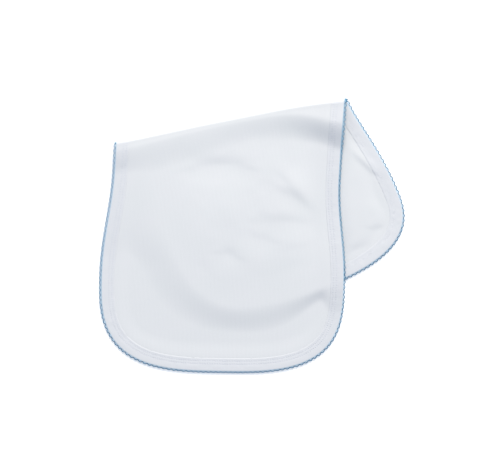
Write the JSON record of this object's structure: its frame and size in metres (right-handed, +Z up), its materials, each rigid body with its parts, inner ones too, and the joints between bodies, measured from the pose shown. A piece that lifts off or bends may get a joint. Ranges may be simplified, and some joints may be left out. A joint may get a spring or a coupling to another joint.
{
  "type": "burp cloth",
  "caption": "Contoured cotton burp cloth with a self-fabric bound edge and a blue picot trim, folded once on the slant and laid flat.",
  "frame": {"origin": "middle of the folded cloth's box, on the surface that it lies on", "axes": "+Z up from the surface, +X to the right along the long way of the folded cloth, -Y towards its rounded front end"},
  "size_m": [0.335, 0.3016, 0.011],
  "materials": {
    "interlock_knit": "soft white cotton interlock knit",
    "binding_knit": "white cotton knit strip, folded and coverstitched",
    "picot_thread": "blue cotton picot edging"
  },
  "bodies": {
    "root": {"panel": "interlock_knit", "binding": "binding_knit", "picot_trim": "picot_thread"}
  },
  "joints": []
}
